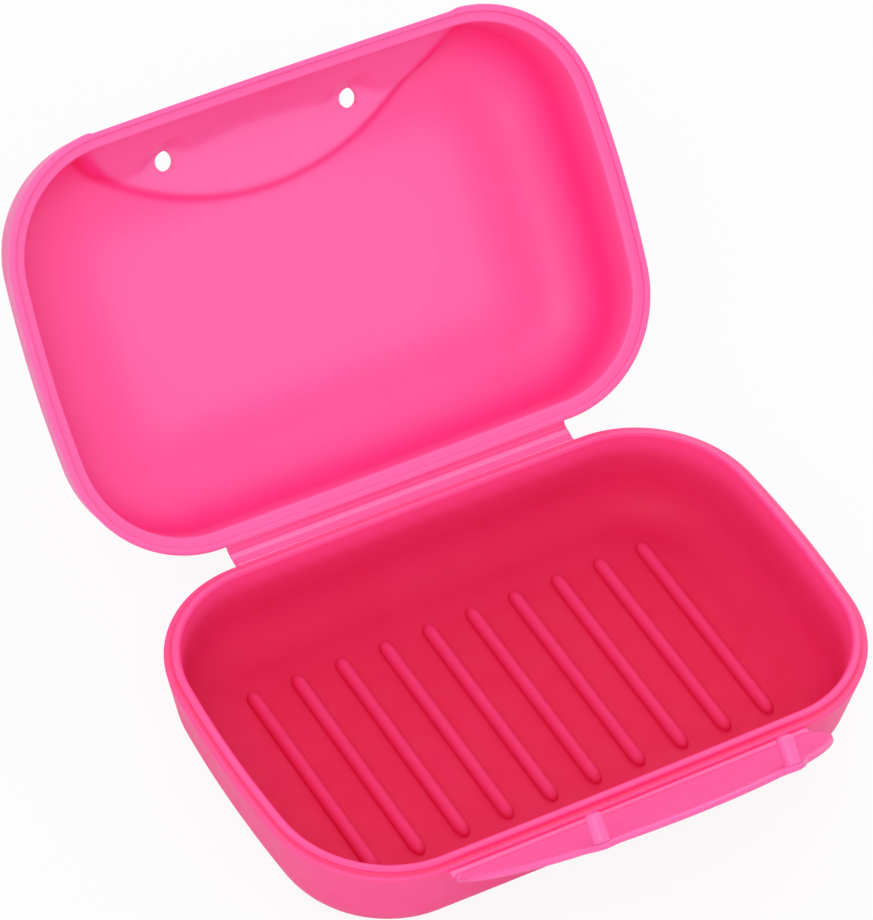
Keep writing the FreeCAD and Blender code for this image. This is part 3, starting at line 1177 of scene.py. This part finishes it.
class CopyRow:
    """Geometry node tree that repeats a piece's mesh along a straight row."""

    def __init__(self) -> None:
        """Builds the tree with Count, Start, Pitch and Finish inputs."""
        tree = bpy.data.node_groups.new("copy_row", "GeometryNodeTree")
        add_sockets(tree, "INPUT", {"Piece": "Geometry", "Count": "Int", "Start": "Vector"})
        add_sockets(tree, "INPUT", {"Pitch": "Vector", "Finish": "Material"})
        add_sockets(tree, "OUTPUT", {"Row": "Geometry"})
        enter = tree.nodes.new("NodeGroupInput")
        leave = tree.nodes.new("NodeGroupOutput")
        line = tree.nodes.new("GeometryNodeMeshLine")
        spread = tree.nodes.new("GeometryNodeInstanceOnPoints")
        realize = tree.nodes.new("GeometryNodeRealizeInstances")
        dress = tree.nodes.new("GeometryNodeSetMaterial")
        links = tree.links
        links.new(enter.outputs["Count"], line.inputs["Count"])
        links.new(enter.outputs["Start"], line.inputs["Start Location"])
        links.new(enter.outputs["Pitch"], line.inputs["Offset"])
        links.new(line.outputs["Mesh"], spread.inputs["Points"])
        links.new(enter.outputs["Piece"], spread.inputs["Instance"])
        links.new(spread.outputs["Instances"], realize.inputs["Geometry"])
        links.new(realize.outputs["Geometry"], dress.inputs["Geometry"])
        links.new(enter.outputs["Finish"], dress.inputs["Material"])
        links.new(dress.outputs["Geometry"], leave.inputs["Row"])
        self.tree = tree
        self.sockets = {item.name: item.identifier for item in tree.interface.items_tree}

    def repeat(
        self, piece: Piece, count: int, start: Vector, pitch: Vector, finish: Plastic
    ) -> None:
        """Turns a piece into a row of copies of itself.

        Args:
            piece: The piece, whose mesh is drawn at the origin.
            count: Number of copies.
            start: Place of the first copy, in metres.
            pitch: Step from one copy to the next, in metres.
            finish: Plastic of the copies.
        """
        row = piece.modifiers.new("copy_row", "NODES")
        row.node_group = self.tree
        row[self.sockets["Count"]] = count
        row[self.sockets["Start"]] = tuple(start)
        row[self.sockets["Pitch"]] = tuple(pitch)
        row[self.sockets["Finish"]] = finish
        bake_modifiers(piece)


@dataclass(frozen=True)
class DrainRibs:
    """Row of low round ribs on the tray's floor."""

    count: int = 10
    width: float = 2.6
    end_taper: float = 2.2
    end_scale: float = 0.02
    sunk: float = 0.05
    along_steps: int = 36
    across_steps: int = 14
    foot_shade: float = 1.15
    top_light: float = 0.5

    def build(self, row: CopyRow, finish: Plastic) -> Piece:
        """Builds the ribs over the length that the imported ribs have.

        Args:
            row: Tree that repeats a piece.
            finish: Plastic of the tray.

        Returns:
            The piece, riding on the tray.
        """
        low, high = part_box("drain_ribs")
        half = (high.y - low.y) / MM / 2
        height = (high.z - low.z) / MM
        places = half * np.sin(np.linspace(-math.pi / 2, math.pi / 2, self.along_steps))
        taper = np.clip((np.abs(places) - half) / self.end_taper + 1.0, 0.0, 1.0)
        scales = np.sqrt(np.clip(1.0 - taper**2, self.end_scale**2, 1.0))
        angles = np.linspace(0.0, math.pi, self.across_steps)
        arch = np.stack([np.cos(angles) * self.width / 2, np.sin(angles) * height], axis=1)
        loops = []
        for place, scale in zip(places, scales):
            along = np.full(len(arch), place)
            loop = np.column_stack([arch[:, 0] * scale, along, arch[:, 1] * scale])
            base = loop[[-1, 0]] - np.array([0.0, 0.0, self.sunk])
            loops.append(np.concatenate([loop, base]))
        rings = np.array(loops)
        # Painted shade at the ribs' feet, fading to painted light on their tops.
        tone = self.foot_shade - self.top_light * np.clip(rings[..., 2] / height, 0.0, 1.0)
        piece = ring_piece("floor_ribs", rings, tone, finish)
        start = Vector((low.x + self.width / 2 * MM, 0.0, low.z))
        pitch = Vector(((high.x - low.x - self.width * MM) / (self.count - 1), 0.0, 0.0))
        row.repeat(piece, self.count, start, pitch, finish)
        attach(piece, "tray")
        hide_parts("drain_ribs")
        return piece


@dataclass(frozen=True)
class FilmWeb:
    """Strip of the moulding that runs from one panel through a film hinge to the next."""

    name: str
    bodies: tuple[str, str]
    half_length: float
    root_thickness: float
    far_thickness: float
    film_thickness: float = 0.35
    thin_reach: float = 0.55
    thin_end: float = 1.6
    panel_tone: float = -0.6
    end_round: float = 0.5
    end_gap: float = 0.01
    end_swell: float = 0.03
    end_steps: int = 8
    middle_steps: int = 24
    steps: int = 28

    def build(self, root: np.ndarray, hinge: np.ndarray, far: np.ndarray, finish: Plastic) -> Piece:
        """Builds the strip as a smooth bend through its hinge.

        Args:
            root: Point in the first panel, as y and z.
            hinge: The hinge line.
            far: Point in the second panel.
            finish: Plastic of the film.

        Returns:
            The piece, drawn bent through its hinge.
        """
        first = hinge - root
        second = far - hinge
        runs = np.linspace(-np.linalg.norm(first), np.linalg.norm(second), self.steps)
        first_heading = math.atan2(first[1], first[0])
        turn = math.atan2(second[1], second[0]) - first_heading
        turn = (turn + math.pi) % (2 * math.pi) - math.pi
        heading = first_heading + turn * smoothstep((runs / self.thin_reach + 1.0) / 2.0)
        stride = np.diff(runs, prepend=runs[0])[:, None]
        path = np.cumsum(stride * np.stack([np.cos(heading), np.sin(heading)], axis=1), axis=0)
        path = path - path[np.argmin(np.abs(runs))] + hinge
        side = np.stack([-np.sin(heading), np.cos(heading)], axis=1)
        wide = np.where(runs < 0.0, self.root_thickness, self.far_thickness)
        thin = smoothstep(self.thin_end - np.abs(runs) / self.thin_reach)
        thickness = wide + (self.film_thickness - wide) * thin
        loops = []
        for x in self._columns():
            edge = np.clip((self.half_length - abs(x)) / self.end_round, 0.0, 1.0)
            swell = math.sqrt(1.0 - (1.0 - edge) ** 2) * (1.0 - self.end_swell) + self.end_swell
            rise = side * (thickness * swell / 2)[:, None]
            loop = np.concatenate([path + rise, (path - rise)[::-1]])
            loops.append(np.column_stack([np.full(len(loop), x), loop]))
        # Painted shade in the fold: the film is painted deeper than the panels either side.
        tone = np.tile(np.concatenate([thin, thin[::-1]]) + self.panel_tone, len(loops))
        piece = ring_piece(self.name, np.array(loops), tone, finish)
        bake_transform(piece)
        return piece

    def _columns(self) -> np.ndarray:
        """Places of the strip's cross sections, close together at its rounded ends.

        Returns:
            The places, from one end to the other.
        """
        reach = self.half_length - np.geomspace(self.end_round, self.end_gap, self.end_steps)
        middle = np.linspace(0.0, reach[0], self.middle_steps, endpoint=False)
        half = np.concatenate([middle, reach, [self.half_length]])
        return np.concatenate([-half[:0:-1], half])


@dataclass(frozen=True)
class StrapHinge:
    """Strap between the tray and the lid, with a film on each side of it."""

    hinges: BoxHinges
    half_length: float = 32.0
    flange_thickness: float = 1.0
    strap_thickness: float = 0.8
    flange_run: float = 1.7

    def build(self, finish: Plastic) -> list[Piece]:
        """Builds the two halves of the strap, which meet along its middle line.

        Args:
            finish: Plastic of the film.

        Returns:
            The half on the tray and the half on the lid.
        """
        strap, lid = self.hinges.strap, self.hinges.lid
        tray_line = strap.point[1:]
        lid_line = lid.point[1:]
        middle = (tray_line + lid_line) / 2
        tray_root = tray_line - np.array([self.flange_run, 0.0])
        closed_lid_line = strap.turn(lid.point, strap.closed_deg)
        closed_root = closed_lid_line - np.array([0.0, self.flange_run, 0.0])
        lid_root = self.hinges.open_lid(closed_root)[1:]
        flange, panel = self.flange_thickness, self.strap_thickness
        tray_web = FilmWeb("strap_tray_half", ("tray", "strap"), self.half_length, flange, panel)
        lid_web = FilmWeb("strap_lid_half", ("strap", "lid"), self.half_length, panel, flange)
        tray_half = tray_web.build(tray_root, tray_line, middle, finish)
        lid_half = lid_web.build(middle, lid_line, lid_root, finish)
        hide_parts("hinge_strap", "tray_hinge_film")
        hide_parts("lid_hinge_film")
        return [tray_half, lid_half]


@dataclass(frozen=True)
class Arc:
    """Circle in the flap's plane, read as its depth over a place along the flap."""

    centre: np.ndarray
    radius: float
    above: float

    @classmethod
    def through(
        cls, first: Sequence[float], second: Sequence[float], third: Sequence[float]
    ) -> "Arc":
        """Circle through three points.

        Args:
            first: First point.
            second: A point between.
            third: Last point.

        Returns:
            The arc, on the side of its centre where the middle point is.
        """
        points = np.array([first, second, third], float)
        system = np.column_stack([2 * points, np.ones(3)])
        solved = np.linalg.solve(system, (points**2).sum(axis=1))
        centre = solved[:2]
        radius = math.sqrt(solved[2] + centre @ centre)
        return cls(centre, radius, math.copysign(1.0, points[1, 1] - centre[1]))

    def height(self, x: np.ndarray) -> np.ndarray:
        """Depth of the arc at places along the flap."""
        offset = np.sqrt(np.maximum(self.radius**2 - (x - self.centre[0]) ** 2, 0.0))
        return self.centre[1] + self.above * offset


@dataclass(frozen=True)
class LatchFlap:
    """Flap that folds over the lid's front edge, with two studs near its arched free edge."""

    flap: FlapSize
    hinges: BoxHinges
    flange_thickness: float = 1.0
    flange_run: float = 2.0
    plate_start: float = 1.3
    web_overlap: float = 0.4
    fold_reach: float = 1.6
    end_depth: float = 5.5
    shoulder: tuple[float, float] = (21.0, 21.8)
    haunch: tuple[float, float] = (29.5, 13.8)
    depth: float = 27.0
    boss_radius: float = 2.1
    boss_spread: float = 3.4
    edge_round: float = 1.1
    edge_tone: float = 0.3
    columns: int = 220
    rows: int = 56
    stud_depth: float = 23.0
    stud_diameter: float = 2.7
    stud_length: float = 4.6
    stud_round: float = 0.6
    stud_flare: tuple[tuple[float, float], ...] = ((0.35, 0.0), (0.1, 0.12), (0.0, 0.4))
    stud_sunk: float = 0.05
    stud_sides: int = 40
    stud_steps: int = 7

    def build(self, row: CopyRow, finishes: Finishes) -> list[Piece]:
        """Builds the flap's hinge strip, its plate and its studs.

        Args:
            row: Tree that repeats a piece.
            finishes: The plastics.

        Returns:
            The three pieces.
        """
        along = unit(self.hinges.fold.point - self.hinges.latch.point)
        web = self._web(along, finishes.film)
        plate = self._plate(along, finishes.flap)
        studs = self._studs(along, row, finishes.flap)
        return [web, plate, studs]

    def _web(self, along: np.ndarray, finish: Plastic) -> Piece:
        """Hinge strip from the tray's front to the foot of the flap.

        Args:
            along: Unit direction from the hinge to the fold.
            finish: Plastic of the film.

        Returns:
            The piece, drawn bent from the tray to the flap.
        """
        line = self.hinges.latch.point[1:]
        root = line + np.array([self.flange_run, 0.0])
        far = line + along[1:] * (self.plate_start + self.web_overlap)
        sizes = (self.flap.half_length, self.flange_thickness, self.flap.thickness)
        web = FilmWeb("latch_hinge_strip", ("tray", "latch"), *sizes)
        piece = web.build(root, line, far, finish)
        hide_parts("latch_hinge_film")
        return piece

    def _free_edge(self, x: np.ndarray) -> np.ndarray:
        """Depth of the flap's free edge, with a boss at each stud.

        Args:
            x: Places along the flap.

        Returns:
            Distance of the edge from the hinge at each place.
        """
        shoulder_x, shoulder_depth = self.shoulder
        end = (self.flap.half_length, self.end_depth)
        top = Arc.through((-shoulder_x, shoulder_depth), (0.0, self.depth), self.shoulder)
        flank = Arc.through(self.shoulder, self.haunch, end)
        reach = np.abs(x)
        depth = np.where(reach <= shoulder_x, top.height(reach), flank.height(reach))
        from_stud = np.abs(reach - self.flap.stud_spacing / 2)
        boss = np.clip(1.0 - (from_stud / self.boss_spread) ** 2, 0.0, 1.0) ** 2
        return depth + np.maximum(self.stud_depth + self.boss_radius - depth, 0.0) * boss

    def _plate(self, along: np.ndarray, finish: Plastic) -> Piece:
        """Plate of the flap with soft edges, flat through its fold.

        Args:
            along: Unit direction from the hinge to the fold.
            finish: Plastic of the flap.

        Returns:
            The piece, flat from its foot to its free edge.
        """
        half_length = self.flap.half_length
        x = np.sin(np.linspace(-math.pi / 2, math.pi / 2, self.columns)) * half_length
        edge = self._free_edge(x)
        share = np.sin(np.linspace(0.0, math.pi / 2, self.rows))[:, None]
        depth = self.plate_start + share * (edge - self.plate_start)
        across = np.broadcast_to(x, depth.shape)
        gap = np.min(np.hypot(across[..., None] - x, depth[..., None] - edge), axis=-1)
        gap = np.minimum(gap, half_length - np.abs(across))
        rounding = 1.0 - np.clip(gap / self.edge_round, 0.0, 1.0)
        swell = np.sqrt(np.clip(1.0 - rounding**2, 0.0, 1.0))
        middle = depth[..., None] * along + across[..., None] * X_AXIS + self.hinges.latch.point
        lift = (swell * self.flap.thickness / 2)[..., None] * np.cross(X_AXIS, along)
        points = np.stack([middle + lift, middle - lift]).reshape(-1, 3)
        under = depth.size
        faces = strip_faces(0, under, self.columns, closed=False)
        for row in range(self.rows - 1):
            here = row * self.columns
            beyond = here + self.columns
            faces += strip_faces(here, beyond, self.columns, closed=False)
            faces += strip_faces(under + beyond, under + here, self.columns, closed=False)
        tone = np.tile(self.edge_tone * (1.0 - swell.ravel()), 2)
        piece = make_piece("latch_plate", points, faces, tone, finish)
        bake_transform(piece)
        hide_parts("latch_flap", "latch_fold_film", "latch_tip")
        return piece

    def _studs(self, along: np.ndarray, row: CopyRow, finish: Plastic) -> Piece:
        """Pair of studs on the flap's inner face, with rounded ends.

        Args:
            along: Unit direction from the hinge to the fold.
            row: Tree that repeats a piece.
            finish: Plastic of the flap.

        Returns:
            The piece, riding on the flap's tip.
        """
        inner = np.cross(along, X_AXIS)
        radius = self.stud_diameter / 2
        shank = self.stud_length - self.stud_round
        profile = [(radius + flare, reach) for flare, reach in self.stud_flare]
        for angle in np.linspace(0.0, math.pi / 2, self.stud_steps):
            inset = self.stud_round * (1 - math.cos(angle))
            profile.append((radius - inset, shank + self.stud_round * math.sin(angle)))
        turns = np.linspace(0.0, 2 * math.pi, self.stud_sides, endpoint=False)[:, None]
        circle = np.cos(turns) * X_AXIS + np.sin(turns) * np.cross(inner, X_AXIS)
        base = self.flap.thickness / 2 - self.stud_sunk
        rings = np.array([circle * size + inner * (reach + base) for size, reach in profile])
        piece = ring_piece("latch_pegs", rings, np.zeros(rings.shape[:2]), finish)
        spacing = self.flap.stud_spacing
        first = self.hinges.latch.point + along * self.stud_depth - X_AXIS * spacing / 2
        row.repeat(piece, 2, Vector(first * MM), Vector((spacing * MM, 0.0, 0.0)), finish)
        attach(piece, "latch_tip")
        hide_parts("latch_studs")
        return piece


@dataclass(frozen=True)
class PhotoCamera:
    """Camera at the photograph's viewing angle, with pixel sizes in its 873 by 920 frame."""

    azimuth_deg: float = -34.16
    elevation_deg: float = 46.55
    roll_deg: float = -5.69
    distance: float = 944.3
    target: tuple[float, float, float] = (-7.235, 17.774, 47.086)
    focal_px: float = 5971.0
    long_side_px: float = 920.0
    sensor: float = 36.0

    def build(self) -> None:
        """Builds the camera and makes it the scene's."""
        azimuth = math.radians(self.azimuth_deg)
        elevation = math.radians(self.elevation_deg)
        roll = math.radians(self.roll_deg)
        level = math.cos(elevation)
        back = Vector((math.sin(azimuth) * level, -math.cos(azimuth) * level, math.sin(elevation)))
        right = Vector((math.cos(azimuth), math.sin(azimuth), 0.0))
        up = back.cross(right)
        turned_right = right * math.cos(roll) - up * math.sin(roll)
        turned_up = right * math.sin(roll) + up * math.cos(roll)
        data = bpy.data.cameras.new("photo_camera")
        data.sensor_width = self.sensor
        data.lens = self.focal_px * self.sensor / self.long_side_px
        camera = bpy.data.objects.new("photo_camera", data)
        place = (Vector(self.target) + back * self.distance) * MM
        turn = Matrix((turned_right, turned_up, back)).transposed().to_4x4()
        camera.matrix_world = Matrix.Translation(place) @ turn
        bpy.context.scene.collection.objects.link(camera)
        bpy.context.scene.camera = camera


@dataclass(frozen=True)
class SoftLamp:
    """Large soft lamp that faces the box, in metres and watts."""

    name: str
    place: tuple[float, float, float]
    size: float
    power: float

    def build(self) -> None:
        """Builds the lamp."""
        data = bpy.data.lights.new(self.name, "AREA")
        data.size = self.size
        data.energy = self.power
        lamp = bpy.data.objects.new(self.name, data)
        lamp.location = self.place
        lamp.rotation_euler = (-Vector(self.place)).to_track_quat("-Z", "Y").to_euler()
        bpy.context.scene.collection.objects.link(lamp)


@dataclass(frozen=True)
class Studio:
    """Pale floor, soft lamps and an even white surround, in metres."""

    floor_half: float = 3.0
    floor_white: float = 0.9
    floor_colour: Colour = (0.8, 0.8, 0.8)
    floor_roughness: float = 0.9
    ambient: float = 0.74
    lamps: tuple[SoftLamp, ...] = (
        SoftLamp("key_lamp", place=(-0.45, -0.5, 0.85), size=0.7, power=4.0),
        SoftLamp("back_lamp", place=(0.5, 0.75, 0.7), size=0.8, power=3.0),
    )

    def build(self) -> None:
        """Builds the studio round the box."""
        self._floor()
        self._surround()
        for lamp in self.lamps:
            lamp.build()

    def _floor(self) -> None:
        """Plain white floor that the camera sees nearly white, with the box's faint shadow."""
        half = self.floor_half
        mesh = bpy.data.meshes.new("floor")
        corners = [(-half, -half, 0.0), (half, -half, 0.0), (half, half, 0.0), (-half, half, 0.0)]
        mesh.from_pydata(corners, [], [(0, 1, 2, 3)])
        floor = bpy.data.objects.new("floor", mesh)
        bpy.context.scene.collection.objects.link(floor)
        material = bpy.data.materials.new("pale_floor")
        material.use_nodes = True
        nodes = material.node_tree.nodes
        links = material.node_tree.links
        shader = nodes["Principled BSDF"]
        shader.inputs["Base Color"].default_value = (*self.floor_colour, 1.0)
        shader.inputs["Roughness"].default_value = self.floor_roughness
        glow = nodes.new("ShaderNodeEmission")
        rays = nodes.new("ShaderNodeLightPath")
        share = nodes.new("ShaderNodeMath")
        share.operation = "MULTIPLY"
        share.inputs[1].default_value = self.floor_white
        mix = nodes.new("ShaderNodeMixShader")
        links.new(rays.outputs["Is Camera Ray"], share.inputs[0])
        links.new(share.outputs[0], mix.inputs["Fac"])
        links.new(shader.outputs["BSDF"], mix.inputs[1])
        links.new(glow.outputs["Emission"], mix.inputs[2])
        links.new(mix.outputs["Shader"], nodes["Material Output"].inputs["Surface"])
        mesh.materials.append(material)

    def _surround(self) -> None:
        """World that is white to the camera and a plain soft light to the box."""
        world = bpy.data.worlds.new("surround")
        world.use_nodes = True
        bpy.context.scene.world = world
        nodes = world.node_tree.nodes
        links = world.node_tree.links
        plain = nodes["Background"]
        plain.inputs["Color"].default_value = WHITE
        plain.inputs["Strength"].default_value = self.ambient
        white = nodes.new("ShaderNodeBackground")
        white.inputs["Color"].default_value = WHITE
        rays = nodes.new("ShaderNodeLightPath")
        mix = nodes.new("ShaderNodeMixShader")
        links.new(rays.outputs["Is Camera Ray"], mix.inputs["Fac"])
        links.new(plain.outputs["Background"], mix.inputs[1])
        links.new(white.outputs["Background"], mix.inputs[2])
        links.new(mix.outputs["Shader"], nodes["World Output"].inputs["Surface"])


def main() -> None:
    """Builds the box piece by piece, then the studio round it."""
    logging.basicConfig(level=logging.INFO, format="%(message)s")
    bpy.context.scene.view_settings.view_transform = "Standard"
    hinges = BoxHinges.from_frame(frame)
    finishes = Finishes.build()
    outline = RimOutline()
    flap = FlapSize()
    recess = Recess(flap, hinges, front_y=-outline.width / 2)
    row = CopyRow()
    pieces = [
        Tray(outline).build(finishes),
        DrainRibs().build(row, finishes.bed),
        Lid(outline, recess).build(finishes.lid),
        *StrapHinge(hinges).build(finishes.film),
        *LatchFlap(flap, hinges).build(row, finishes),
    ]
    for piece in pieces:
        log.info("%s: %d faces", piece.name, len(piece.data.polygons))
    PhotoCamera().build()
    Studio().build()


if __name__ == "__main__":
    main()
